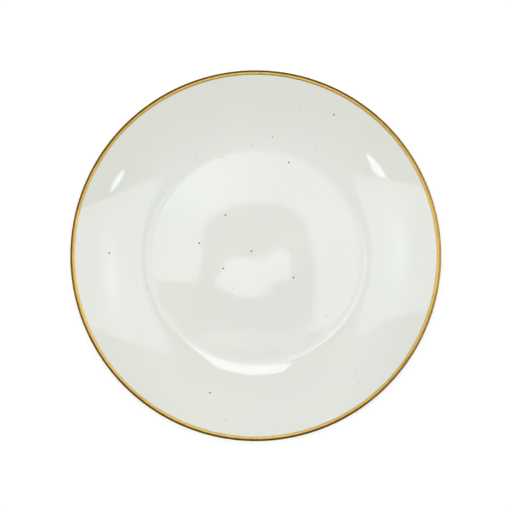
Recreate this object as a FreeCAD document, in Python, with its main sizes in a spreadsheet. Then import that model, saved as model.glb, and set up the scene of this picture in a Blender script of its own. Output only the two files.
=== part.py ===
"""A porcelain coupe dinner plate with a gilded lip, as a parametric FreeCAD document.

The plate is fired in layers, and each layer is a solid of its own:
  porcelain_body  the biscuit: well floor, rising border, round lip and foot ring in one piece
  outer_glaze     the glass coat over the face, the lip and the underside, down to the foot ring
  recess_glaze    the second, separate coat inside the foot ring, cut off by the wiped bare foot
  gold_rim_band   the gold laid over the glaze, round the lip
  glaze_specks    the iron specks that sit in the glaze of the face

The frame: millimetres and degrees, +Z up, origin on the axis in the plane that the foot ring stands on.

How the section works: the biscuit's half section is a route of stations, from the centre of the well
over the lip to the centre of the back. A station is a point on the biscuit with its outward normal. The
glaze and the gold follow the same route, moved out along the normals by their thickness, so that every
coat fits the layer below it.
"""

import FreeCAD
import Part

import math
import os

import Sketcher

# Driving dimensions: alias, value, meaning. Thicknesses and radii are the biscuit's, before glazing.
SIZES = [
    ("overall_diameter", 267.0, "across the gilded lip"),
    ("overall_height", 23.0, "from the standing plane to the top of the gilded lip"),
    ("well_diameter", 150.0, "flat floor of the well"),
    ("transition_radius", 50.0, "bend from the well floor to the border, where the border has room for it"),
    ("border_sweep", 9.0, "degrees by which the border steepens on its way to the lip"),
    ("rim_thickness", 3.4, "wall of the border and diameter of the round lip"),
    ("floor_thickness", 4.4, "from the recess ceiling to the well floor"),
    ("foot_height", 3.3, "from the standing plane to the recess ceiling"),
    ("foot_beyond_well", 3.5, "how far the foot ring's outside lies beyond the edge of the well floor"),
    ("foot_land_width", 2.2, "flat that the plate stands on"),
    ("foot_edge_radius", 0.8, "rounding on both sides of the standing flat"),
    ("foot_draft", 8.0, "degrees that each side of the foot ring leans"),
    ("foot_outer_fillet", 2.5, "between the foot ring and the underside of the border"),
    ("foot_inner_fillet", 1.5, "between the foot ring and the recess ceiling"),
    ("bare_foot_height", 1.1, "height up to which the glaze is wiped off the foot ring"),
    ("glaze_thickness", 0.3, "glaze coat on every side"),
    ("gold_thickness", 0.12, "gold film over the glaze"),
    ("gold_face_width", 3.6, "band seen from above, measured in from the outermost edge"),
    ("gold_back_width", 2.6, "band seen from below, measured in from the outermost edge"),
    ("speck_coarse_radius", 0.55, "half width of a coarse speck"),
    ("speck_fine_radius", 0.38, "half width of a fine speck"),
    ("speck_streak_radius", 0.95, "half length of a speck that has run in the firing"),
    ("speck_depth", 0.2, "how deep a speck reaches into the glaze"),
]

# The lip's half round is drawn as equal short arcs, which keeps the facets of a mesh of it even.
LIP_ARCS = 12
LIP = [f"lip_{k}" for k in range(LIP_ARCS + 1)]


def lip_stations():
    """Stations round the lip, from the end of the face to the start of the underside."""
    for k, name in enumerate(LIP):
        yield f"{name}_normal", f"90 + lip_slope - 180 * {k} / {LIP_ARCS}"
        yield f"{name}_x", f"lip_x + lip_radius * cos({name}_normal)"
        yield f"{name}_z", f"lip_z + lip_radius * sin({name}_normal)"


# Values worked out from the driving dimensions: name and expression, in the order they are needed.
FORM = [
    # The lip is a full round, whose centre lies on the middle surface of the border.
    ("coats", "Sizes.glaze_thickness + Sizes.gold_thickness"),
    ("lip_radius", "Sizes.rim_thickness / 2"),
    ("lip_x", "Sizes.overall_diameter / 2 - coats - lip_radius"),
    ("lip_z", "Sizes.overall_height - coats - lip_radius"),
    ("well_radius", "Sizes.well_diameter / 2"),
    ("well_z", "Sizes.foot_height + Sizes.floor_thickness"),
    # Start slope of the border: the one at which transition and border, both arcs, meet the lip's centre.
    ("run", "lip_x - well_radius"),
    ("transition_radius", "min(Sizes.transition_radius; 0.9 * run)"),
    ("rise", "lip_z - well_z - transition_radius"),
    ("reach", "(transition_radius + lip_radius) * cos(Sizes.border_sweep / 2)"),
    ("chord_slope", "(atan2(rise; run) + asin(reach / hypot(run; rise))) / 1deg"),
    ("border_slope", "chord_slope - Sizes.border_sweep / 2"),
    ("lip_slope", "chord_slope + Sizes.border_sweep / 2"),
    ("border_start_x", "well_radius + transition_radius * sin(border_slope)"),
    ("border_start_z", "well_z + transition_radius * (1 - cos(border_slope))"),
    # The border's face and underside are arcs about one centre, so its wall is even.
    ("middle_start_x", "border_start_x + lip_radius * sin(border_slope)"),
    ("middle_start_z", "border_start_z - lip_radius * cos(border_slope)"),
    ("border_chord", "hypot(lip_x - middle_start_x; lip_z - middle_start_z)"),
    ("middle_radius", "border_chord / 2 / sin(Sizes.border_sweep / 2)"),
    ("face_radius", "middle_radius - lip_radius"),
    ("underside_radius", "middle_radius + lip_radius"),
    ("border_x", "border_start_x - face_radius * sin(border_slope)"),
    ("border_z", "border_start_z + face_radius * cos(border_slope)"),
    # The glazed surfaces: the same bends, moved by the coat.
    ("glazed_transition_radius", "transition_radius - Sizes.glaze_thickness"),
    ("glazed_face_radius", "face_radius - Sizes.glaze_thickness"),
    ("glazed_underside_radius", "underside_radius + Sizes.glaze_thickness"),
    ("transition_end", "well_radius + glazed_transition_radius * sin(border_slope)"),
    # Stations of the face.
    ("centre_top_x", "0"),
    ("centre_top_z", "well_z"),
    ("centre_top_normal", "90"),
    ("well_edge_x", "well_radius"),
    ("well_edge_z", "well_z"),
    ("well_edge_normal", "90"),
    ("border_start_normal", "90 + border_slope"),
    ("band_face_x", "Sizes.overall_diameter / 2 - Sizes.gold_face_width"),
    ("band_face_slope", "asin((band_face_x - border_x) / glazed_face_radius) / 1deg"),
    ("band_face_edge_x", "border_x + face_radius * sin(band_face_slope)"),
    ("band_face_edge_z", "border_z - face_radius * cos(band_face_slope)"),
    ("band_face_edge_normal", "90 + band_face_slope"),
    # Stations of the underside.
    ("band_back_x", "Sizes.overall_diameter / 2 - Sizes.gold_back_width"),
    ("band_back_slope", "asin((band_back_x - border_x) / glazed_underside_radius) / 1deg"),
    ("band_back_edge_x", "border_x + underside_radius * sin(band_back_slope)"),
    ("band_back_edge_z", "border_z - underside_radius * cos(band_back_slope)"),
    ("band_back_edge_normal", "band_back_slope - 90"),
    # Stations of the foot ring, which stands on its land and leans by the draft on both sides.
    ("land_outer_x", "well_radius + Sizes.foot_beyond_well - Sizes.foot_edge_radius"),
    ("land_outer_z", "0"),
    ("land_outer_normal", "-90"),
    ("land_inner_x", "land_outer_x - Sizes.foot_land_width"),
    ("land_inner_z", "0"),
    ("land_inner_normal", "-90"),
    ("corner_outer_x", "land_outer_x + Sizes.foot_edge_radius * cos(Sizes.foot_draft)"),
    ("corner_outer_z", "Sizes.foot_edge_radius * (1 - sin(Sizes.foot_draft))"),
    ("corner_outer_normal", "-Sizes.foot_draft"),
    ("corner_inner_x", "land_inner_x - Sizes.foot_edge_radius * cos(Sizes.foot_draft)"),
    ("corner_inner_z", "corner_outer_z"),
    ("corner_inner_normal", "Sizes.foot_draft - 180"),
    ("bare_wall_height", "Sizes.bare_foot_height - corner_outer_z"),
    ("glaze_line_outer_x", "corner_outer_x + bare_wall_height * tan(Sizes.foot_draft)"),
    ("glaze_line_outer_z", "Sizes.bare_foot_height"),
    ("glaze_line_outer_normal", "-Sizes.foot_draft"),
    ("glaze_line_inner_x", "corner_inner_x - bare_wall_height * tan(Sizes.foot_draft)"),
    ("glaze_line_inner_z", "Sizes.bare_foot_height"),
    ("glaze_line_inner_normal", "Sizes.foot_draft - 180"),
    # Outer fillet: a circle that touches the leaning wall and the arc of the underside.
    ("wall_across_x", "(corner_outer_x - border_x) * cos(Sizes.foot_draft)"),
    ("wall_across_z", "(corner_outer_z - border_z) * sin(Sizes.foot_draft)"),
    ("fillet_across", "wall_across_x - wall_across_z + Sizes.foot_outer_fillet"),
    ("fillet_reach", "underside_radius + Sizes.foot_outer_fillet"),
    ("fillet_along", "sqrt(fillet_reach ^ 2 - fillet_across ^ 2)"),
    ("fillet_x", "border_x + fillet_across * cos(Sizes.foot_draft) - fillet_along * sin(Sizes.foot_draft)"),
    ("fillet_z", "border_z - fillet_across * sin(Sizes.foot_draft) - fillet_along * cos(Sizes.foot_draft)"),
    ("foot_root_normal", "atan2(fillet_z - border_z; fillet_x - border_x) / 1deg"),
    ("foot_root_x", "border_x + underside_radius * cos(foot_root_normal)"),
    ("foot_root_z", "border_z + underside_radius * sin(foot_root_normal)"),
    ("foot_wall_top_x", "fillet_x - Sizes.foot_outer_fillet * cos(Sizes.foot_draft)"),
    ("foot_wall_top_z", "fillet_z + Sizes.foot_outer_fillet * sin(Sizes.foot_draft)"),
    ("foot_wall_top_normal", "-Sizes.foot_draft"),
    # Inner fillet and the flat ceiling of the recess.
    ("inner_wall_top_z", "Sizes.foot_height - Sizes.foot_inner_fillet * (1 - sin(Sizes.foot_draft))"),
    ("inner_wall_top_x", "corner_inner_x - (inner_wall_top_z - corner_inner_z) * tan(Sizes.foot_draft)"),
    ("inner_wall_top_normal", "Sizes.foot_draft - 180"),
    ("recess_edge_x", "inner_wall_top_x - Sizes.foot_inner_fillet * cos(Sizes.foot_draft)"),
    ("recess_edge_z", "Sizes.foot_height"),
    ("recess_edge_normal", "-90"),
    ("centre_back_x", "0"),
    ("centre_back_z", "Sizes.foot_height"),
    ("centre_back_normal", "-90"),
    *lip_stations(),
]

# The stations in order, each with the bend that leads on from it: nothing for a straight run, or the
# bend's radius and whether it bulges out of the porcelain (+1) or is hollowed into it (-1).
ROUTE = {
    "centre_top": None,
    "well_edge": ("Form.transition_radius", -1),
    "border_start": ("Form.face_radius", -1),
    "band_face_edge": ("Form.face_radius", -1),
    **{name: ("Form.lip_radius", +1) for name in LIP[:-1]},
    LIP[-1]: ("Form.underside_radius", +1),
    "band_back_edge": ("Form.underside_radius", +1),
    "foot_root": ("Sizes.foot_outer_fillet", -1),
    "foot_wall_top": None,
    "glaze_line_outer": None,
    "corner_outer": ("Sizes.foot_edge_radius", +1),
    "land_outer": None,
    "land_inner": ("Sizes.foot_edge_radius", +1),
    "corner_inner": None,
    "glaze_line_inner": None,
    "inner_wall_top": ("Sizes.foot_inner_fillet", -1),
    "recess_edge": None,
    "centre_back": None,
}
ORDER = list(ROUTE)

FACE = ["centre_top", "well_edge", "border_start"]
UNDERSIDE = ["foot_root", "foot_wall_top"]
FOOT_BOTTOM = ["corner_outer", "land_outer", "land_inner", "corner_inner"]
RECESS = ["inner_wall_top", "recess_edge", "centre_back"]

# Where the specks fell: bearing in degrees from +X, distance from the axis as a share of the face
# inside the gold band, and kind.
SPECKS = [
    (133, 0.035, "coarse"),
    (-158.5, 0.195, "coarse"),
    (167.5, 0.325, "coarse"),
    (126.5, 0.285, "coarse"),
    (-30, 0.245, "coarse"),
    (70.5, 0.555, "coarse"),
    (-108.5, 0.805, "coarse"),
    (179, 0.815, "coarse"),
    (61, 0.895, "coarse"),
    (40.5, 0.22, "fine"),
    (149.5, 0.12, "fine"),
    (-28.5, 0.14, "fine"),
    (-40.5, 0.525, "fine"),
    (4.5, 0.56, "fine"),
    (73, 0.85, "fine"),
    (92, 0.62, "fine"),
    (60, 0.675, "fine"),
    (120.5, 0.66, "fine"),
    (108.5, 0.58, "fine"),
    (-124.5, 0.225, "fine"),
    (-163.5, 0.635, "fine"),
    (-48.5, 0.85, "fine"),
    (-51, 0.91, "fine"),
    (-100.5, 0.93, "fine"),
    (82, 0.67, "streak"),
]


def make_sizes(doc):
    """The spreadsheet of driving dimensions, one row each: name, value, meaning."""
    sheet = doc.addObject("Spreadsheet::Sheet", "Sizes")
    for row, (alias, value, meaning) in enumerate(SIZES, start=1):
        sheet.set(f"A{row}", alias)
        sheet.set(f"B{row}", str(value))
        sheet.set(f"C{row}", meaning)
        sheet.setAlias(f"B{row}", alias)
    doc.recompute()
    return sheet


def make_form(doc):
    """The derived values, each bound to the sheet by its expression."""
    form = doc.addObject("App::VarSet", "Form")
    for name, expression in FORM:
        form.addProperty("App::PropertyFloat", name, "Form")
        form.setExpression(name, expression)
    doc.recompute()
    return form


def origin_plane(body, role):
    return next(f for f in body.Origin.OriginFeatures if f.Role == role)


class Section:
    """A closed half section in a body's XZ plane, drawn as a loop of stations at chosen offsets."""

    def __init__(self, body):
        self.sketch = body.newObject("Sketcher::SketchObject", body.Name + "_section")
        self.sketch.AttachmentSupport = [(origin_plane(body, "XZ_Plane"), "")]
        self.sketch.MapMode = "FlatFace"

    def value(self, expression):
        return float(self.sketch.evalExpression(expression))

    def direction(self, degrees):
        angle = math.radians(degrees)
        return FreeCAD.Vector(math.cos(angle), math.sin(angle), 0)

    def coordinate(self, axis, station, offset):
        """Expression for a station's x or z once it is moved out along its normal."""
        turn = {"x": "cos", "z": "sin"}[axis]
        return f"Form.{station}_{axis} + ({offset}) * {turn}(Form.{station}_normal)"

    def point(self, station, offset):
        x = self.value(self.coordinate("x", station, offset))
        z = self.value(self.coordinate("z", station, offset))
        return FreeCAD.Vector(x, z, 0)

    def bend_between(self, start, end):
        """The bend that joins two corners of the loop: that of the earlier station on the route."""
        if start[1] != end[1]:
            return None
        return ROUTE[min(start[0], end[0], key=ORDER.index)]

    def edge(self, start, end):
        """Draws the run from one corner of the loop to the next, and returns its number in the sketch."""
        bend = self.bend_between(start, end)
        if bend is None:
            return self.sketch.addGeometry(Part.LineSegment(self.point(*start), self.point(*end)), False)
        radius, bulge = bend
        return self.arc(start, end, f"{radius} + ({bulge}) * ({start[1]})", bulge)

    def arc(self, start, end, radius, bulge):
        """An arc between two corners, through the point whose normal lies midway between theirs."""
        start_normal = self.value(f"Form.{start[0]}_normal")
        end_normal = self.value(f"Form.{end[0]}_normal")
        size = self.value(radius)
        turn = self.direction((start_normal + end_normal) / 2) - self.direction(start_normal)
        crown = self.point(*start) + turn * size * bulge
        number = self.sketch.addGeometry(Part.Arc(self.point(*start), crown, self.point(*end)), False)
        self.bind(Sketcher.Constraint("Radius", number, size), radius)
        return number

    def bind(self, constraint, expression):
        """Adds a constraint whose value follows an expression."""
        index = self.sketch.addConstraint(constraint)
        self.sketch.setExpression(f"Constraints[{index}]", expression)

    def end_at(self, number, point):
        """1 or 2: which end of an edge lies at a point."""
        near = self.sketch.getPoint(number, 1).distanceToPoint(point)
        far = self.sketch.getPoint(number, 2).distanceToPoint(point)
        return 1 if near < far else 2

    def pin(self, number, end, corner):
        """Fixes an edge's end at its corner, by the axes where it lies on one and by distances elsewhere."""
        for axis, kind, on_axis in (("x", "DistanceX", -2), ("z", "DistanceY", -1)):
            expression = self.coordinate(axis, *corner)
            value = self.value(expression)
            if abs(value) < 1e-9:
                self.sketch.addConstraint(Sketcher.Constraint("PointOnObject", number, end, on_axis))
            else:
                self.bind(Sketcher.Constraint(kind, -1, 1, number, end, value), expression)

    def close(self, corners):
        """Draws the loop through the corners, joins its edges end to end and fixes every corner."""
        steps = list(zip(corners, corners[1:] + corners[:1]))
        numbers = [self.edge(start, end) for start, end in steps]
        for k, corner in enumerate(corners):
            point = self.point(*corner)
            here, before = numbers[k], numbers[k - 1]
            here_end, before_end = self.end_at(here, point), self.end_at(before, point)
            self.sketch.addConstraint(Sketcher.Constraint("Coincident", before, before_end, here, here_end))
            self.pin(here, here_end, corner)


def revolve(body, sketch):
    turned = body.newObject("PartDesign::Revolution", body.Name + "_turned")
    turned.Profile = sketch
    turned.ReferenceAxis = (sketch, ["V_Axis"])
    turned.Angle = 360.0
    sketch.Visibility = False


def turned_piece(doc, name, corners):
    """A body turned about Z from the closed loop of (station, offset) corners."""
    body = doc.addObject("PartDesign::Body", name)
    section = Section(body)
    section.close(corners)
    revolve(body, section.sketch)
    return body


def coat(doc, name, stations, inner, outer):
    """A coat along a stretch of the route, between two offsets from the biscuit."""
    outside = [(station, outer) for station in stations]
    inside = [(station, inner) for station in reversed(stations)]
    return turned_piece(doc, name, outside + inside)


def make_porcelain_body(doc):
    stations = FACE + LIP + UNDERSIDE + FOOT_BOTTOM + RECESS
    return turned_piece(doc, "porcelain_body", [(station, "0") for station in stations])


def make_outer_coat(doc):
    stations = FACE + LIP + UNDERSIDE + ["glaze_line_outer"]
    return coat(doc, "outer_coat", stations, "0", "Sizes.glaze_thickness")


def make_recess_glaze(doc):
    stations = ["glaze_line_inner"] + RECESS
    return coat(doc, "recess_glaze", stations, "0", "Sizes.glaze_thickness")


def make_gold_rim_band(doc):
    stations = ["band_face_edge"] + LIP + ["band_back_edge"]
    return coat(doc, "gold_rim_band", stations, "Sizes.glaze_thickness", "Form.coats")


def by_region(well, transition, border):
    """An expression that picks one of three by where a speck lies on the face."""
    return (f"distance <= Form.well_radius ? {well} : "
            f"(distance <= Form.transition_end ? {transition} : {border})")


def make_speck_plug(doc, number, bearing, share, kind):
    """A small plug through the glazed face, square to it, as deep below the face as it stands above."""
    outline = doc.addObject("Part::Ellipse", f"speck_outline_{number:02d}")
    slope = by_region(
        "0",
        "asin((distance - Form.well_radius) / Form.glazed_transition_radius) / 1deg",
        "asin((distance - Form.border_x) / Form.glazed_face_radius) / 1deg",
    )
    height = by_region(
        "Form.well_z + Sizes.glaze_thickness",
        "Form.well_z + Form.transition_radius - Form.glazed_transition_radius * cos(slope)",
        "Form.border_z - Form.glazed_face_radius * cos(slope)",
    )
    values = {
        "bearing": str(bearing),
        "distance": f"{share} * Form.band_face_x",
        "slope": slope,
        "height": height,
    }
    for name, expression in values.items():
        outline.addProperty("App::PropertyFloat", name, "Speck")
        outline.setExpression(name, expression)
    across = "fine" if kind == "streak" else kind
    outline.setExpression("MajorRadius", f"Sizes.speck_{kind}_radius")
    outline.setExpression("MinorRadius", f"Sizes.speck_{across}_radius")
    outline.setExpression("Placement.Base.x", "distance * cos(bearing)")
    outline.setExpression("Placement.Base.y", "distance * sin(bearing)")
    outline.setExpression("Placement.Base.z", "height")
    outline.setExpression("Placement.Rotation.Yaw", "bearing")
    outline.setExpression("Placement.Rotation.Pitch", "-slope")
    plug = doc.addObject("Part::Extrusion", f"speck_plug_{number:02d}")
    plug.Base = outline
    plug.DirMode = "Normal"
    plug.Solid = True
    plug.setExpression("LengthFwd", "Sizes.speck_depth")
    plug.setExpression("LengthRev", "Sizes.speck_depth")
    return plug


def make_glaze_and_specks(doc):
    """The outer coat with a pocket for each speck, and the specks that fill them flush with the face."""
    outer_coat = make_outer_coat(doc)
    plugs = doc.addObject("Part::Compound", "speck_plugs")
    plugs.Links = [make_speck_plug(doc, k, *speck) for k, speck in enumerate(SPECKS, start=1)]
    glaze = doc.addObject("Part::Cut", "outer_glaze")
    glaze.Base = outer_coat
    glaze.Tool = plugs
    specks = doc.addObject("Part::Common", "glaze_specks")
    specks.Base = plugs
    specks.Tool = outer_coat
    return glaze, specks


def check(doc, pieces):
    """Stops the build at a failed object, an open sketch or a shape that isn't sound."""
    for thing in doc.Objects:
        if {"Invalid", "Error"} & set(thing.State):
            raise RuntimeError(f"{thing.Name} failed: {thing.State}")
        if thing.TypeId == "Sketcher::SketchObject" and not thing.FullyConstrained:
            raise RuntimeError(f"{thing.Name} has {thing.DoF} degrees of freedom left")
    for piece in pieces:
        if piece.Shape.isNull() or not piece.Shape.isValid() or not piece.Shape.Solids:
            raise RuntimeError(f"{piece.Label} has no sound solid")


def export(pieces):
    os.makedirs("parts", exist_ok=True)
    for piece in pieces:
        piece.Shape.exportStep(f"parts/{piece.Label}.step")
        solids = piece.Shape.Solids
        volume = sum(solid.Volume for solid in solids)
        print(f"{piece.Label}: {len(solids)} solid(s), {volume:.1f} mm3")


def main():
    doc = FreeCAD.newDocument("coupe_dinner_plate")
    make_sizes(doc)
    make_form(doc)
    pieces = [make_porcelain_body(doc), *make_glaze_and_specks(doc)]
    pieces += [make_recess_glaze(doc), make_gold_rim_band(doc)]
    doc.recompute()
    check(doc, pieces)
    export(pieces)


main()
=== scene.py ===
"""The looks of the porcelain dinner plate: meshes of its five layers, their materials, and the studio.

Every layer follows the same half section as the CAD model: a route over the biscuit, from the centre of
the well over the lip to the centre of the back. A point of a layer is a point of that route, moved out
along the route's normal. Section sizes are in millimetres; meshes are in metres.
"""

import math
import random

import bpy
import numpy as np
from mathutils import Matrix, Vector, noise


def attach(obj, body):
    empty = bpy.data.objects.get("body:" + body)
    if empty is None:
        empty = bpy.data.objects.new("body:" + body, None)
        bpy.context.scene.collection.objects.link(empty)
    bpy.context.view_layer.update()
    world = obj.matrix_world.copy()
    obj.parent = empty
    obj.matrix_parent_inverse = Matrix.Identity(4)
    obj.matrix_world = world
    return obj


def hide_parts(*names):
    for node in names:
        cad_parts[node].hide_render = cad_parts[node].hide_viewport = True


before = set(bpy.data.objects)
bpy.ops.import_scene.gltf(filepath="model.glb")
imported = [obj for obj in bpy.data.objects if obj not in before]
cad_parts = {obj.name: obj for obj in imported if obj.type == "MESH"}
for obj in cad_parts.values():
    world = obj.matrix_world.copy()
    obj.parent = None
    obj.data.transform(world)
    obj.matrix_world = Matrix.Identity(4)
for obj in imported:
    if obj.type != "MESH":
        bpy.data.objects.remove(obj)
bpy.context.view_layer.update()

MM = 0.001

# ---------------------------------------------------------------- the half section, as in the CAD model

OVERALL_DIAMETER = 267.0
OVERALL_HEIGHT = 23.0
WELL_DIAMETER = 150.0
TRANSITION_RADIUS = 50.0
BORDER_SWEEP = 9.0
RIM_THICKNESS = 3.4
FLOOR_THICKNESS = 4.4
FOOT_HEIGHT = 3.3
FOOT_BEYOND_WELL = 3.5
FOOT_LAND_WIDTH = 2.2
FOOT_EDGE_RADIUS = 0.8
FOOT_DRAFT = 8.0
FOOT_OUTER_FILLET = 2.5
FOOT_INNER_FILLET = 1.5
BARE_FOOT_HEIGHT = 1.1
GLAZE = 0.3
CAD_GOLD = 0.12
GOLD_FACE_WIDTH = 3.6
GOLD_BACK_WIDTH = 2.6

# The drawn gold film is thinner than its solid stand-in, as the real one is.
GOLD = 0.035

# A coat ends in a rounded bead: how far back from its end it reaches full thickness.
GLAZE_BEAD = 0.35
GOLD_BEAD = 0.12

# The bearing at which the gold brush went over its own start, and how far the overlap fades, in degrees.
OVERLAP_BEARING = 287
OVERLAP_FADE = 2.2

# How finely the skins are cut round the axis, and the route along its arcs (mm) and its straights.
SEGMENTS = 480
GOLD_SEGMENTS = 720
ARC_STEP = 0.12
MOST_ARC_POINTS = 600
STRAIGHT_POINTS = 200


def direction(degrees):
    angle = math.radians(degrees)
    return np.array([math.cos(angle), math.sin(angle)])


class Route:
    """The biscuit's outline as points with normals, and the length run along it."""

    def __init__(self):
        self.points, self.normals, self.marks = [], [], {}
        self.solve_border()
        self.solve_foot()
        self.walk()

    def solve_border(self):
        coats = GLAZE + CAD_GOLD
        self.lip_radius = RIM_THICKNESS / 2
        self.lip = np.array([OVERALL_DIAMETER / 2, OVERALL_HEIGHT]) - coats - self.lip_radius
        self.well_radius = WELL_DIAMETER / 2
        self.well_z = FOOT_HEIGHT + FLOOR_THICKNESS
        self.turn = np.array([self.well_radius, self.well_z + TRANSITION_RADIUS])
        run, rise = self.lip - self.turn
        reach = (TRANSITION_RADIUS + self.lip_radius) * math.cos(math.radians(BORDER_SWEEP / 2))
        chord = math.degrees(math.atan2(rise, run) + math.asin(reach / math.hypot(run, rise)))
        self.start_slope, self.lip_slope = chord - BORDER_SWEEP / 2, chord + BORDER_SWEEP / 2
        start = self.turn - TRANSITION_RADIUS * direction(90 + self.start_slope)
        middle = start - self.lip_radius * direction(90 + self.start_slope)
        span = np.linalg.norm(self.lip - middle)
        middle_radius = span / 2 / math.sin(math.radians(BORDER_SWEEP / 2))
        self.face_radius = middle_radius - self.lip_radius
        self.underside_radius = middle_radius + self.lip_radius
        self.border = start + self.face_radius * direction(90 + self.start_slope)

    def solve_foot(self):
        draft = math.radians(FOOT_DRAFT)
        outer = self.well_radius + FOOT_BEYOND_WELL - FOOT_EDGE_RADIUS
        self.outer_corner = np.array([outer, FOOT_EDGE_RADIUS])
        self.inner_corner = np.array([outer - FOOT_LAND_WIDTH, FOOT_EDGE_RADIUS])
        wall = self.outer_corner + FOOT_EDGE_RADIUS * direction(-FOOT_DRAFT)
        across = (wall - self.border) @ direction(-FOOT_DRAFT) + FOOT_OUTER_FILLET
        reach = self.underside_radius + FOOT_OUTER_FILLET
        along = math.sqrt(reach**2 - across**2)
        up = np.array([math.sin(draft), math.cos(draft)])
        self.outer_fillet = self.border + across * direction(-FOOT_DRAFT) - along * up
        gap = self.outer_fillet - self.border
        self.root_normal = math.degrees(math.atan2(gap[1], gap[0]))
        top = FOOT_HEIGHT - FOOT_INNER_FILLET
        wall = self.inner_corner + FOOT_EDGE_RADIUS * direction(FOOT_DRAFT - 180)
        end_z = top + FOOT_INNER_FILLET * math.sin(draft)
        end = np.array([wall[0] - (end_z - wall[1]) * math.tan(draft), end_z])
        self.inner_fillet = end + FOOT_INNER_FILLET * direction(FOOT_DRAFT - 180)

    def bend(self, centre, radius, start, end, bulge=+1):
        """An arc whose outward normal turns from one bearing to another."""
        count = max(3, int(abs(end - start) * math.radians(1) * radius / ARC_STEP))
        for normal in np.linspace(start, end, min(count, MOST_ARC_POINTS)):
            self.points.append(centre + bulge * radius * direction(normal))
            self.normals.append(normal)

    def straight(self, start, end, normal):
        for t in np.linspace(0, 1, STRAIGHT_POINTS):
            self.points.append(start + (end - start) * t)
            self.normals.append(normal)

    def mark(self, name):
        self.marks[name] = len(self.points) - 1

    def walk(self):
        centre_top = np.array([0, self.well_z])
        self.straight(centre_top, np.array([self.well_radius, self.well_z]), 90)
        self.mark("well_edge")
        self.bend(self.turn, TRANSITION_RADIUS, 90, 90 + self.start_slope, -1)
        self.mark("border_start")
        self.bend(self.border, self.face_radius, 90 + self.start_slope, 90 + self.lip_slope, -1)
        self.mark("lip_top")
        self.bend(self.lip, self.lip_radius, 90 + self.lip_slope, self.lip_slope - 90)
        self.mark("lip_under")
        self.bend(self.border, self.underside_radius, self.lip_slope - 90, self.root_normal)
        self.mark("foot_root")
        self.bend(self.outer_fillet, FOOT_OUTER_FILLET, self.root_normal, -FOOT_DRAFT, -1)
        self.mark("foot_wall_top")
        wall_top = self.points[-1]
        self.straight(wall_top, self.outer_corner + FOOT_EDGE_RADIUS * direction(-FOOT_DRAFT), -FOOT_DRAFT)
        self.bend(self.outer_corner, FOOT_EDGE_RADIUS, -FOOT_DRAFT, -90)
        self.mark("land_outer")
        self.bend(self.inner_corner, FOOT_EDGE_RADIUS, -90, FOOT_DRAFT - 180)
        self.mark("corner_inner")
        inner_top = self.inner_fillet - FOOT_INNER_FILLET * direction(FOOT_DRAFT - 180)
        self.straight(self.points[-1], inner_top, FOOT_DRAFT - 180)
        self.bend(self.inner_fillet, FOOT_INNER_FILLET, FOOT_DRAFT - 180, -90, -1)
        self.mark("recess_edge")
        self.straight(self.points[-1], np.array([0, FOOT_HEIGHT]), -90)
        steps = np.linalg.norm(np.diff(self.points, axis=0), axis=1)
        self.length = np.concatenate([[0], np.cumsum(steps)])
        self.x, self.z = np.array(self.points).T
        self.marks = {name: self.length[k] for name, k in self.marks.items()}
        self.end = self.length[-1]

    def at(self, length, offset=0.0):
        """Distance from the axis and height, at a length along the route and an offset from the biscuit."""
        normal = np.radians(np.interp(length, self.length, self.normals))
        x = np.interp(length, self.length, self.x) + offset * np.cos(normal)
        z = np.interp(length, self.length, self.z) + offset * np.sin(normal)
        return x, z

    def length_where(self, low, high, test):
        """The first length between two marks' lengths at which a test of (x, z) holds."""
        for length in np.linspace(low, high, 4000):
            if test(*self.at(length, GLAZE)):
                return length
        return high


route = Route()


# ---------------------------------------------------------------- hand-made unevenness, shared by every layer

def smooth(low, high, value):
    t = np.clip((value - low) / (high - low), 0, 1)
    return t * t * (3 - 2 * t)


def uneven(x, y, z, length):
    """How far the plate lies from its ideal shape: a faint warp of the rim and faint waves in the face."""
    radius, bearing = math.hypot(x, y), math.atan2(y, x)
    warp = 0.05 * math.sin(2 * bearing + 0.8) + 0.025 * math.sin(3 * bearing + 2.1) - 0.08
    rim = float(smooth(84, 131, radius)) * warp
    where = Vector((x / 46, y / 46, 3.7))
    waves = 0.030 * noise.noise(where) + 0.008 * noise.noise(where * 2.6)
    on_face = 1 - float(smooth(route.marks["lip_top"] - 14, route.marks["lip_top"], length))
    return rim + waves * on_face


# ---------------------------------------------------------------- meshes

def make_object(name, vertices, faces, material, slot):
    mesh = bpy.data.meshes.new(name)
    mesh.from_pydata([Vector(v) * MM for v in vertices], [], faces)
    mesh.validate()
    mesh.polygons.foreach_set("use_smooth", [True] * len(mesh.polygons))
    mesh.materials.append(material)
    piece = bpy.data.objects.new(name, mesh)
    bpy.context.scene.collection.objects.link(piece)
    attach(piece, "root")
    return piece


def turned(section, segments=SEGMENTS):
    """Vertices and faces of a closed skin turned about Z.

    section(bearing) gives the loop at a bearing, as (length, x, z) rows. Rows on the axis become one
    vertex each, and the loop closes from its last row to its first unless both lie on the axis.
    """
    first = section(0.0)
    rows = len(first)
    on_axis = [row[1] < 1e-6 for row in first]
    index, vertices = np.zeros((segments, rows), int), []
    for s in range(segments):
        bearing = 2 * math.pi * s / segments
        for k, (length, x, z) in enumerate(section(bearing)):
            if on_axis[k] and s > 0:
                index[s, k] = index[0, k]
                continue
            px, py = x * math.cos(bearing), x * math.sin(bearing)
            index[s, k] = len(vertices)
            vertices.append((px, py, z + uneven(px, py, z, length)))
    faces = []
    for s in range(segments):
        t = (s + 1) % segments
        for k in range(rows):
            j = (k + 1) % rows
            if on_axis[k] and on_axis[j]:
                continue
            corners = [index[s, k], index[s, j], index[t, j], index[t, k]]
            faces.append([int(c) for n, c in enumerate(corners) if c not in corners[:n]])
    return vertices, faces


def stops(*spans):
    """Lengths along the route: (start, end, count) spans run together, each end taken once."""
    out = []
    for start, end, count in spans:
        piece = list(np.linspace(start, end, count))
        out += piece if not out else piece[1:]
    return np.array(out)


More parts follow.
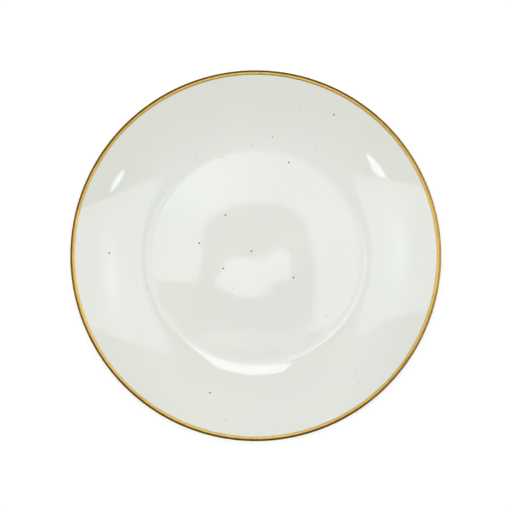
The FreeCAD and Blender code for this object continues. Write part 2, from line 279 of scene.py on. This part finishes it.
def body_section():
    m = route.marks
    lengths = stops(
        (0, m["well_edge"], 14), (m["well_edge"], m["border_start"], 8),
        (m["border_start"], m["lip_top"], 16), (m["lip_top"], m["lip_under"], 12),
        (m["lip_under"], m["foot_root"], 16), (m["foot_root"], m["foot_wall_top"], 8),
        (m["foot_wall_top"], m["land_outer"], 12), (m["land_outer"], m["corner_inner"], 12),
        (m["corner_inner"], m["recess_edge"], 10), (m["recess_edge"], route.end, 10),
    )
    x, z = route.at(lengths)
    x[0] = x[-1] = 0.0
    rows = list(zip(lengths, x, z))
    return lambda bearing: rows


def bead(distance, reach):
    """Share of a coat's full thickness near its rounded end."""
    t = np.clip(distance / reach, 0, 1)
    return np.sqrt(1 - (1 - t) ** 2)


def loop(front, back, front_points, back_points):
    """The rows of a coat's closed section: its outside, then its inside the other way."""
    (x, z), (inner_x, inner_z) = front_points, back_points
    lengths = np.concatenate([front, back])
    return list(zip(lengths, np.concatenate([x, inner_x]), np.concatenate([z, inner_z])))


def find_glaze_lines():
    """The lengths at which the bare foot starts on its outer side (+1) and ends on its inner side (-1)."""
    m = route.marks
    outer = route.length_where(m["foot_wall_top"], m["land_outer"], lambda x, z: z < BARE_FOOT_HEIGHT)
    inner = route.length_where(m["corner_inner"], m["recess_edge"], lambda x, z: z > BARE_FOOT_HEIGHT)
    return {+1: outer, -1: inner}


LINE_LENGTH = find_glaze_lines()


def glaze_line(side, bearing):
    """Where the glaze was wiped off the foot, as a length along the route: nearly level, never quite."""
    wave = noise.noise(Vector((math.cos(bearing) * 7, math.sin(bearing) * 7, side * 5)))
    fine = noise.noise(Vector((math.cos(bearing) * 31, math.sin(bearing) * 31, side * 9)))
    return LINE_LENGTH[side] - side * (0.16 + 0.13 * wave + 0.05 * fine)


def outer_glaze_section():
    m = route.marks
    fixed = stops(
        (0, m["well_edge"] - 3, 26), (m["well_edge"] - 3, m["border_start"] + 2, 26),
        (m["border_start"] + 2, m["lip_top"], 37), (m["lip_top"], m["lip_under"], 18),
        (m["lip_under"], m["foot_root"], 24), (m["foot_root"], m["foot_wall_top"], 11),
    )
    back = fixed[::4][::-1]
    tail_shares = np.array([0.25, 0.5, 0.65, 0.78, 0.88, 0.95, 0.985, 1.0])

    def section(bearing):
        line = glaze_line(+1, bearing)
        tail = fixed[-1] + (line - fixed[-1]) * tail_shares
        front = np.concatenate([fixed, tail])
        x, z = route.at(front, GLAZE * bead(line - front, GLAZE_BEAD))
        inner_x, inner_z = route.at(back)
        x[0] = inner_x[-1] = 0.0
        return loop(front, back, (x, z), (inner_x, inner_z))

    return section


def recess_glaze_section():
    m = route.marks
    past_line = m["corner_inner"] + 0.75 * (LINE_LENGTH[-1] - m["corner_inner"]) + 0.6
    fixed = stops((past_line, m["recess_edge"], 16), (m["recess_edge"], route.end, 24))
    back = np.append(route.end, fixed[:-1:3][::-1])
    head_shares = np.array([0.0, 0.02, 0.08, 0.18, 0.34, 0.6])

    def section(bearing):
        line = glaze_line(-1, bearing)
        head = line + (fixed[0] - line) * head_shares
        front = np.concatenate([head, fixed])
        x, z = route.at(front, GLAZE * bead(front - line, GLAZE_BEAD))
        inner_x, inner_z = route.at(back)
        x[-1] = inner_x[0] = 0.0
        return loop(front, back, (x, z), (inner_x, inner_z))

    return section


def brushed_edge(bearing, seed, reach):
    """How far a brushed gold edge strays at a bearing: slow drift of the hand, and the hairs of the brush."""
    around = Vector((math.cos(bearing), math.sin(bearing), seed))
    drift, hand, hairs = (noise.noise(around * scale) for scale in (2.1, 11, 47))
    return reach * (drift + 0.45 * hand + 0.2 * hairs)


def overlap(bearing):
    """1 where the brush went over its own start, 0 elsewhere."""
    off = (math.degrees(bearing) - OVERLAP_BEARING + 180) % 360 - 180
    return math.exp(-((off / OVERLAP_FADE) ** 2))


def gold_section():
    m = route.marks
    face_x, back_x = OVERALL_DIAMETER / 2 - GOLD_FACE_WIDTH, OVERALL_DIAMETER / 2 - GOLD_BACK_WIDTH
    face = route.length_where(m["border_start"], m["lip_top"], lambda x, z: x > face_x)
    back = route.length_where(m["lip_under"], m["foot_root"], lambda x, z: x < back_x)
    shares = np.concatenate([[0, 0.01, 0.03, 0.06], np.linspace(0.1, 0.9, 34), [0.94, 0.97, 0.99, 1]])

    def section(bearing):
        start = face + 0.03 + brushed_edge(bearing, 4.2, 0.22)
        end = back - 0.2 + brushed_edge(bearing, 8.9, 0.35)
        lengths = start + (end - start) * shares
        from_edge = np.minimum(lengths - start, end - lengths)
        film = GOLD * (1 + 0.5 * overlap(bearing)) * bead(from_edge, GOLD_BEAD)
        under = lengths[1:-1][::-1]
        return loop(lengths, under, route.at(lengths, GLAZE + film), route.at(under, GLAZE - 0.02))

    return section


# ---------------------------------------------------------------- iron specks, where the CAD model has them

# A speck's rings, from its edge to its top: share of its radius, and height above the face. A coarse
# speck is wider than twice COARSE_RADIUS.
SPECK_RINGS = [(1.0, -0.06), (0.93, 0.012), (0.7, 0.03), (0.38, 0.04)]
SPECK_TOP = 0.043
SPECK_ROOT = 0.1
SPECK_SIDES = 22
COARSE_RADIUS = 0.45


def islands(mesh):
    """The separate pieces of a mesh, each as the coordinates of its vertices in millimetres."""
    parent = {}
    keys = [tuple(round(c, 7) for c in v.co) for v in mesh.vertices]

    def root(k):
        parent.setdefault(k, k)
        while parent[k] != k:
            parent[k] = parent[parent[k]]
            k = parent[k]
        return k

    for polygon in mesh.polygons:
        corners = [keys[v] for v in polygon.vertices]
        for other in corners[1:]:
            parent[root(other)] = root(corners[0])
    groups = {}
    for key in set(keys):
        groups.setdefault(root(key), []).append(key)
    return [np.array(g) / MM for g in groups.values()]


def face_at(radius):
    """Height, slope and length along the route of the glazed face at a distance from the axis."""
    lengths = np.linspace(0, route.marks["lip_top"], 6000)
    x, z = route.at(lengths, GLAZE)
    length = np.interp(radius, x, lengths)
    slope = math.radians(np.interp(length, route.length, route.normals) - 90)
    return np.interp(radius, x, z), slope, length


def speck_frame(centre):
    """The point of the face at a speck, and the face's own directions there: up the slope, round, and out."""
    radius, bearing = math.hypot(centre[0], centre[1]), math.atan2(centre[1], centre[0])
    height, slope, length = face_at(radius)
    middle = np.array([centre[0], centre[1], height + uneven(centre[0], centre[1], height, length)])
    run = math.cos(slope)
    along = np.array([math.cos(bearing) * run, math.sin(bearing) * run, math.sin(slope)])
    across = np.array([-math.sin(bearing), math.cos(bearing), 0.0])
    return middle, along, across, np.cross(along, across)


def ragged(angle, lobes, turn):
    """How far a speck's edge stands out at an angle, as a share of its radius."""
    return 1 + sum(w * math.sin((n + 2) * angle + turn * (n + 1)) for n, w in enumerate(lobes))


def speck_faces(base):
    """The faces of one speck whose vertices start at an index: bands between rings, then its top and root."""
    count, rings = SPECK_SIDES, len(SPECK_RINGS)
    faces = []
    for ring in range(rings - 1):
        for k in range(count):
            n = (k + 1) % count
            a, b = base + ring * count, base + (ring + 1) * count
            faces.append((a + k, a + n, b + n, b + k))
    top, root = base + rings * count, base + rings * count + 1
    last = base + (rings - 1) * count
    for k in range(count):
        n = (k + 1) % count
        faces += [(last + k, last + n, top), (base + n, base + k, root)]
    return faces


def speck_mesh(points, rng, vertices, faces, inks):
    """One low, irregular bead of iron glaze, standing a hair proud of the face."""
    centre = points.mean(0)
    middle, along, across, up = speck_frame(centre)
    long_radius, wide_radius = (np.ptp((points - centre) @ axis) / 2 for axis in (along, across))
    coarse = wide_radius > COARSE_RADIUS
    ink = rng.uniform(0.92, 1.0) if coarse else rng.uniform(0.12, 0.38)
    spread = 1.16 if coarse else 0.94
    lobes = [rng.uniform(-0.16, 0.16) for _ in range(3)]
    turn = rng.uniform(0, 6.28)
    base = len(vertices)
    for reach, lift in SPECK_RINGS:
        for k in range(SPECK_SIDES):
            a = 2 * math.pi * k / SPECK_SIDES
            out = along * long_radius * math.cos(a) + across * wide_radius * math.sin(a)
            vertices.append(middle + out * reach * ragged(a, lobes, turn) * spread + up * lift)
    vertices += [middle + up * SPECK_TOP, middle - up * SPECK_ROOT]
    faces += speck_faces(base)
    inks += [ink] * (len(vertices) - base)


def make_specks(material):
    rng = random.Random(11)
    vertices, faces, inks = [], [], []
    found = islands(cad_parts["glaze_specks"].data)
    found.sort(key=lambda g: (round(g[:, 0].mean(), 2), g[:, 1].mean()))
    for points in found:
        speck_mesh(points, rng, vertices, faces, inks)
    specks = make_object("iron_specks", vertices, faces, material, "speck")
    ink = specks.data.attributes.new("ink", "FLOAT", "POINT")
    ink.data.foreach_set("value", inks)
    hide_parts("glaze_specks")


# ---------------------------------------------------------------- materials

class Nodes:
    """A small builder for a material's node tree."""

    def __init__(self, name):
        self.material = bpy.data.materials.new(name)
        self.material.use_nodes = True
        self.tree = self.material.node_tree
        self.shader = self.tree.nodes["Principled BSDF"]

    def add(self, kind, **settings):
        node = self.tree.nodes.new(kind)
        for key, value in settings.items():
            if hasattr(node, key):
                setattr(node, key, value)
            else:
                node.inputs[key.replace("_", " ")].default_value = value
        return node

    def link(self, source, target):
        self.tree.links.new(source, target)

    def place(self):
        split = self.add("ShaderNodeSeparateXYZ")
        self.link(self.add("ShaderNodeTexCoord").outputs["Object"], split.inputs[0])
        return split.outputs

    def radius(self):
        """Distance from the plate's axis."""
        x, y, _ = self.place()
        return self.math("SQRT", self.math("ADD", self.math("POWER", x, 2.0), self.math("POWER", y, 2.0)))

    def noise(self, scale, detail=2.0, roughness=0.5, stretch=(1, 1, 1)):
        """Noise in object space, in features per metre."""
        place = self.add("ShaderNodeTexCoord").outputs["Object"]
        mapping = self.add("ShaderNodeMapping")
        mapping.inputs["Scale"].default_value = stretch
        self.link(place, mapping.inputs["Vector"])
        texture = self.add("ShaderNodeTexNoise", Scale=scale, Detail=detail, Roughness=roughness)
        self.link(mapping.outputs["Vector"], texture.inputs["Vector"])
        return texture.outputs["Fac"]

    def polar_noise(self, around, along, detail=2.0):
        """Noise that runs round the plate: many features along the radius and height, few round the rim."""
        x, y, z = self.place()
        join = self.add("ShaderNodeCombineXYZ")
        self.link(self.math("MULTIPLY", self.math("ARCTAN2", y, x), around), join.inputs["X"])
        self.link(self.math("MULTIPLY", self.radius(), along), join.inputs["Y"])
        self.link(self.math("MULTIPLY", z, along), join.inputs["Z"])
        texture = self.add("ShaderNodeTexNoise", Scale=1.0, Detail=detail)
        self.link(join.outputs[0], texture.inputs["Vector"])
        return texture.outputs["Fac"]

    def math(self, operation, a, b=None):
        node = self.add("ShaderNodeMath", operation=operation)
        for socket, value in zip(node.inputs, (a, b)):
            if value is None:
                continue
            if isinstance(value, (int, float)):
                socket.default_value = value
            else:
                self.link(value, socket)
        return node.outputs[0]

    def spread(self, value, low, high, to_low, to_high):
        """A value taken from one range to another, and held at its ends."""
        node = self.add("ShaderNodeMapRange", From_Min=low, From_Max=high, To_Min=to_low, To_Max=to_high)
        self.link(value, node.inputs["Value"])
        return node.outputs["Result"]

    def mix(self, share, a, b):
        node = self.add("ShaderNodeMix", data_type="RGBA")
        self.link(share, node.inputs["Factor"])
        colours = [s for s in node.inputs if s.type == "RGBA"]
        for socket, value in zip(colours, (a, b)):
            if isinstance(value, tuple):
                socket.default_value = (*value, 1.0)
            else:
                self.link(value, socket)
        return next(s for s in node.outputs if s.type == "RGBA")

    def bump(self, height, distance, strength=1.0):
        node = self.add("ShaderNodeBump", Strength=strength, Distance=distance)
        self.link(height, node.inputs["Height"])
        return node.outputs["Normal"]


def glaze_material(name, pale, cool, warm):
    """Clear gloss glaze over white porcelain: off-white, a touch green, cloudier and cooler in places."""
    n = Nodes(name)
    cloud = n.spread(n.noise(14, 3.0), 0.35, 0.65, 0.0, 1.0)
    mottle = n.spread(n.noise(120, 4.0, 0.6), 0.3, 0.7, 0.0, 1.0)
    colour = n.mix(cloud, pale, cool)
    colour = n.mix(n.math("MULTIPLY", mottle, 0.35), colour, warm)
    n.link(colour, n.shader.inputs["Base Color"])
    n.link(n.spread(n.noise(35, 2.0), 0.3, 0.7, 0.018, 0.034), n.shader.inputs["Roughness"])
    peel = n.math("ADD", n.noise(95, 2.0), n.math("MULTIPLY", n.noise(420, 2.0), 0.12))
    n.link(n.bump(peel, 0.000004), n.shader.inputs["Normal"])
    n.shader.inputs["IOR"].default_value = 1.54
    return n.material


def gold_material():
    """Burnished gold laid on with a brush: streaks round the rim, a painted highlight inside, painted shade
    outside.
    """
    n = Nodes("burnished_gold")
    streak = n.polar_noise(26, 5200, 3.0)
    patch = n.spread(n.noise(55, 3.0), 0.32, 0.68, 0.0, 1.0)
    colour = n.mix(patch, (0.44, 0.265, 0.042), (0.34, 0.19, 0.025))
    colour = n.mix(n.spread(streak, 0.35, 0.65, 0.0, 0.5), colour, (0.56, 0.40, 0.11))
    # Painted highlight: the gold turns paler along the band's inner edge.
    colour = n.mix(n.spread(n.radius(), 0.1298, 0.1312, 0.9, 0.0), colour, (0.74, 0.58, 0.22))
    # Painted shade: the gold darkens to brown towards the outer edge of the lip.
    edge = n.spread(n.radius(), 0.1312, 0.1326, 0.0, 0.62)
    colour = n.mix(edge, colour, (0.24, 0.12, 0.018))
    n.link(colour, n.shader.inputs["Base Color"])
    n.shader.inputs["Metallic"].default_value = 1.0
    streaked = n.spread(streak, 0.3, 0.7, 0.20, 0.32)
    inner = n.spread(n.radius(), 0.1298, 0.1312, 0.2, 0.0)
    n.link(n.math("ADD", streaked, inner), n.shader.inputs["Roughness"])
    relief = n.math("ADD", streak, n.math("MULTIPLY", n.noise(900, 2.0), 0.5))
    n.link(n.bump(relief, 0.00001), n.shader.inputs["Normal"])
    return n.material


def biscuit_material():
    """Bare fired porcelain of the wiped foot: matt, fine-grained, a little soiled where it stands."""
    n = Nodes("bare_biscuit")
    grain = n.noise(2600, 3.0, 0.6)
    soil = n.spread(n.noise(70, 4.0, 0.65), 0.5, 0.75, 0.0, 0.55)
    colour = n.mix(n.spread(grain, 0.3, 0.7, 0.0, 1.0), (0.70, 0.67, 0.60), (0.63, 0.60, 0.53))
    colour = n.mix(soil, colour, (0.50, 0.45, 0.38))
    n.link(colour, n.shader.inputs["Base Color"])
    n.link(n.spread(grain, 0.3, 0.7, 0.62, 0.85), n.shader.inputs["Roughness"])
    n.link(n.bump(grain, 0.00008), n.shader.inputs["Normal"])
    return n.material


def speck_material():
    """Iron specks: nearly black brown where thick, a rusty grey stain where fine."""
    n = Nodes("iron_speck")
    ink = n.add("ShaderNodeAttribute", attribute_name="ink").outputs["Fac"]
    mottle = n.spread(n.noise(2400, 2.0), 0.3, 0.7, -0.12, 0.12)
    depth = n.math("ADD", ink, mottle)
    colour = n.mix(n.spread(depth, 0.2, 1.0, 0.0, 1.0), (0.34, 0.31, 0.26), (0.022, 0.020, 0.017))
    n.link(colour, n.shader.inputs["Base Color"])
    n.shader.inputs["Roughness"].default_value = 0.22
    return n.material


# ---------------------------------------------------------------- the studio

# Height of the lights above the table, and how far the ceiling's brightness falls off from overhead.
LIGHT_PLANE = 5.5
CEILING_FADE = [(0.0, 0.70), (0.07, 0.70), (0.12, 0.95), (0.16, 1.0), (0.18, 0.86), (0.22, 0.55),
                (0.267, 0.37), (0.37, 0.16), (0.6, 0.06), (1.0, 0.05)]
PALE_BLUE = (0.96, 0.98, 1.06)


class Glow:
    """The nodes that work out how bright a light is from where it is."""

    def __init__(self, tree):
        self.tree = tree

    def math(self, operation, *values):
        node = self.tree.nodes.new("ShaderNodeMath")
        node.operation = operation
        for socket, value in zip(node.inputs, values):
            if isinstance(value, (int, float)):
                socket.default_value = value
            else:
                self.tree.links.new(value, socket)
        return node.outputs[0]

    def split(self, coordinates):
        place = self.tree.nodes.new("ShaderNodeTexCoord").outputs[coordinates]
        node = self.tree.nodes.new("ShaderNodeSeparateXYZ")
        self.tree.links.new(place, node.inputs[0])
        return node.outputs

    def bell(self, x, y, centre, width):
        """1 at a centre, falling away smoothly over a width in each direction."""
        across = self.math("POWER", self.math("DIVIDE", self.math("SUBTRACT", x, centre[0]), width[0]), 2.0)
        along = self.math("POWER", self.math("DIVIDE", self.math("SUBTRACT", y, centre[1]), width[1]), 2.0)
        return self.math("EXPONENT", self.math("MULTIPLY", self.math("ADD", across, along), -1.0))

    def ramp(self, value, points):
        """A value looked up along a curve of (position, brightness) points."""
        node = self.tree.nodes.new("ShaderNodeFloatCurve")
        curve = node.mapping.curves[0]
        for end, (x, y) in zip(curve.points, (points[0], points[-1])):
            end.location = (x, y)
        for x, y in points[1:-1]:
            curve.points.new(x, y)
        node.mapping.update()
        self.tree.links.new(value, node.inputs["Value"])
        return node.outputs["Value"]


def glowing(name, strength, colour, glows):
    """A material that gives off light, brighter round each of its glows: (centre, width, extra)."""
    material = bpy.data.materials.new(name)
    material.use_nodes = True
    tree = material.node_tree
    tree.nodes.clear()
    shader = tree.nodes.new("ShaderNodeEmission")
    shader.inputs["Color"].default_value = (*colour, 1.0)
    shader.inputs["Strength"].default_value = strength
    if glows:
        g = Glow(tree)
        x, y, _ = g.split("Object")
        total = strength
        for centre, width, extra in glows:
            total = g.math("ADD", total, g.math("MULTIPLY", g.bell(x, y, centre, width), extra))
        tree.links.new(total, shader.inputs["Strength"])
    tree.links.new(shader.outputs[0], tree.nodes.new("ShaderNodeOutputMaterial").inputs["Surface"])
    return material


def card(name, outline, strength, height=LIGHT_PLANE, colour=PALE_BLUE, glows=()):
    """A flat studio card that lights or shades the plate from above, out of the camera's sight."""
    mesh = bpy.data.meshes.new(name)
    mesh.from_pydata([(x, y, height) for x, y in outline], [], [tuple(range(len(outline)))])
    mesh.materials.append(glowing(name, strength, colour, glows))
    piece = bpy.data.objects.new(name, mesh)
    bpy.context.scene.collection.objects.link(piece)
    piece.visible_camera = False
    piece.visible_shadow = False
    return piece


def oval(x, y, width, depth, count=40):
    turns = [2 * math.pi * k / count for k in range(count)]
    return [(x + width / 2 * math.cos(t), y + depth / 2 * math.sin(t)) for t in turns]


def make_lights():
    """A softbox with a bright tube on each side, a window in front, and two small lamps.

    Their places come from their reflections in the photograph, followed up to the light plane. The
    window's corners are a scratch script's results, rounded. The others were drawn by eye from such results.
    """
    card("softbox_right", [(1.5, -1.32), (3.4, -0.98), (4.1, -0.95), (4.1, 1.4), (1.45, 1.7)], 2.05,
         glows=[((2.6, 0.35), (0.30, 0.85), 1.2), ((1.5, 0.0), (1.0, 3.0), 0.6)])
    card("softbox_left", [(-1.65, -1.36), (-3.3, -1.42), (-4.1, -1.1), (-4.1, 1.1), (-2.4, 1.12),
                          (-1.7, 1.4)], 2.05,
         glows=[((-2.56, -0.1), (0.34, 0.9), 1.3), ((-1.6, 0.0), (1.0, 3.0), 0.7)])
    card("tube_right", oval(2.59, 0.40, 0.10, 0.75), 4.4, LIGHT_PLANE - 0.02)
    card("tube_left", oval(-2.58, -0.15, 0.14, 0.55), 4.5, LIGHT_PLANE - 0.02)
    card("window", [(0.48, 0.55), (0.0, 0.48), (-0.42, 1.18), (-0.48, 1.89), (0.1, 1.94), (0.65, 1.79)], 5.4)
    card("lamp_right", [(2.44, -1.60), (2.54, -1.60), (2.68, -1.43), (2.75, -1.20), (2.67, -1.21),
                        (2.55, -1.32), (2.47, -1.45)], 5.8)
    card("lamp_left", [(-2.00, -1.87), (-2.15, -1.81), (-2.34, -1.62), (-2.43, -1.40), (-2.35, -1.43),
                       (-2.22, -1.42), (-2.10, -1.54), (-2.05, -1.72)], 5.8)


def make_ceiling():
    """The pale ceiling, and below it the dark shape that the well mirrors in the photograph.

    That shape is probably the photographer. camera_stand and stand_gap were drawn along its outline.
    """
    card("ceiling", [(0.24, -0.34), (0.44, -0.30), (0.58, -0.10), (0.61, 0.15), (0.50, 0.40), (0.28, 0.56),
                     (0.0, 0.62), (-0.40, 0.62), (-0.85, 0.50), (-1.0, 0.1), (-0.60, -0.09),
                     (-0.30, -0.13), (-0.10, -0.10)], 2.75,
         glows=[((-0.25, 0.33), (0.2, 0.16), 1.1)])
    card("ceiling_edge", oval(-0.03, -0.385, 0.56, 0.10), 1.7)
    card("camera", oval(0.0, 0.07, 0.50, 0.36), 1.2, LIGHT_PLANE - 0.05)
    card("camera_stand", [(-0.38, -0.17), (-0.25, -0.10), (-0.24, 0.04), (0.24, 0.08), (0.27, 0.0),
                          (0.26, -0.30), (0.1, -0.35), (-0.1, -0.34), (-0.3, -0.30)], 0.9, LIGHT_PLANE - 0.04)
    card("stand_gap", [(-0.12, -0.01), (0.05, -0.02), (0.10, 0.04), (0.16, 0.01), (0.16, -0.10),
                       (0.08, -0.13), (0.05, -0.18), (-0.08, -0.18), (-0.19, -0.12)], 3.2, LIGHT_PLANE - 0.06)


def make_soft_light():
    """An overhead fill that no reflection shows, and a pale side wall that only reflections show."""
    fill = card("fill", oval(0.0, 0.25, 2.2, 2.2), 8.1, LIGHT_PLANE + 0.1, (1.0, 1.0, 1.0))
    fill.visible_glossy = False
    wall = card("wall_right", [(-4.2, -0.15), (-4.2, 2.2), (3.4, 2.2), (3.4, -0.15)], 1.0, 0.0,
                glows=[((0.3, 1.0), (1.2, 3.0), 2.0)])
    wall.rotation_euler = (math.radians(90), 0.0, math.radians(90))
    wall.location = (3.2, 0.0, 0.2)
    wall.visible_diffuse = False


def room_brightness(g):
    """A pale ceiling fading to dim walls, a paler patch low on the left, and the table's glow below."""
    x, y, z = g.split("Generated")
    above = g.math("MAXIMUM", z, 0.02)
    across = g.math("MULTIPLY", g.math("DIVIDE", x, above), 1.15)
    along = g.math("SUBTRACT", g.math("DIVIDE", y, above), 0.15)
    reach = g.math("SQRT", g.math("ADD", g.math("POWER", across, 2.0), g.math("POWER", along, 2.0)))
    ceiling = g.math("MULTIPLY", g.ramp(g.math("DIVIDE", reach, 3.0), CEILING_FADE), 1.5)
    to_left = g.math("SUBTRACT", g.math("MULTIPLY", x, -1.0), 0.80)
    left = g.math("MULTIPLY", g.math("MAXIMUM", to_left, 0.0), 4.0)
    total = g.math("MAXIMUM", ceiling, left)
    total = g.math("MULTIPLY", total, g.math("LESS_THAN", g.math("MULTIPLY", z, -1.0), 0.0))
    below = g.math("MULTIPLY", g.math("LESS_THAN", z, -0.02), 0.45)
    return g.math("MAXIMUM", g.math("MAXIMUM", total, 0.09), below)


def make_world():
    """The room round the plate, warmer where it is dim. The camera itself sees a plain pale wall."""
    world = bpy.data.worlds.new("room")
    bpy.context.scene.world = world
    world.use_nodes = True
    tree = world.node_tree
    tree.nodes.clear()
    add, link = tree.nodes.new, tree.links.new
    g = Glow(tree)
    total = room_brightness(g)
    tint = add("ShaderNodeMix")
    tint.data_type = "RGBA"
    low, high = [socket for socket in tint.inputs if socket.type == "RGBA"]
    low.default_value, high.default_value = (1.0, 0.86, 0.66, 1.0), (0.97, 0.99, 1.04, 1.0)
    link(g.math("MULTIPLY", total, 0.9), tint.inputs["Factor"])
    room = add("ShaderNodeBackground")
    link(next(socket for socket in tint.outputs if socket.type == "RGBA"), room.inputs["Color"])
    link(total, room.inputs["Strength"])
    wall = add("ShaderNodeBackground")
    wall.inputs["Color"].default_value = (0.93, 0.93, 0.925, 1.0)
    choose = add("ShaderNodeMixShader")
    link(add("ShaderNodeLightPath").outputs["Is Camera Ray"], choose.inputs["Fac"])
    link(room.outputs[0], choose.inputs[1])
    link(wall.outputs[0], choose.inputs[2])
    link(choose.outputs[0], add("ShaderNodeOutputWorld").inputs["Surface"])


def make_floor():
    """A plain white table that glows faintly, so that the plate stands on clean white."""
    n = Nodes("white_table")
    n.shader.inputs["Base Color"].default_value = (0.80, 0.80, 0.80, 1.0)
    n.shader.inputs["Roughness"].default_value = 0.9
    n.shader.inputs["Specular IOR Level"].default_value = 0.1
    n.shader.inputs["Emission Color"].default_value = (1.0, 1.0, 1.0, 1.0)
    n.shader.inputs["Emission Strength"].default_value = 0.28
    mesh = bpy.data.meshes.new("table_top")
    mesh.from_pydata([(-6, -6, 0), (6, -6, 0), (6, 6, 0), (-6, 6, 0)], [], [(0, 1, 2, 3)])
    mesh.materials.append(n.material)
    floor = bpy.data.objects.new("table_top", mesh)
    bpy.context.scene.collection.objects.link(floor)
    floor.visible_glossy = False


def make_camera():
    """Straight above the plate, with a short telephoto lens."""
    camera = bpy.data.objects.new("camera", bpy.data.cameras.new("camera"))
    camera.data.lens = 100.0
    camera.data.sensor_width = 36.0
    camera.location = (0.0002, -0.0002, 1.0438)
    camera.rotation_euler = (0.0, 0.0, 0.0)
    bpy.context.scene.collection.objects.link(camera)
    bpy.context.scene.camera = camera


def make_plate():
    glaze = glaze_material("clear_glaze", (0.792, 0.82, 0.734), (0.765, 0.80, 0.724), (0.80, 0.81, 0.714))
    body = make_object("biscuit_body", *turned(body_section()), biscuit_material(), "biscuit")
    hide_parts("porcelain_body")
    coat = make_object("glaze_coat", *turned(outer_glaze_section()), glaze, "glaze")
    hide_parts("outer_glaze")
    recess = make_object("recess_coat", *turned(recess_glaze_section()), glaze, "glaze")
    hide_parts("recess_glaze")
    gold = make_object("gold_band", *turned(gold_section(), GOLD_SEGMENTS), gold_material(), "gold")
    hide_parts("gold_rim_band")
    make_specks(speck_material())


make_plate()
make_lights()
make_ceiling()
make_soft_light()
make_world()
make_floor()
make_camera()
bpy.context.scene.view_settings.view_transform = "Standard"
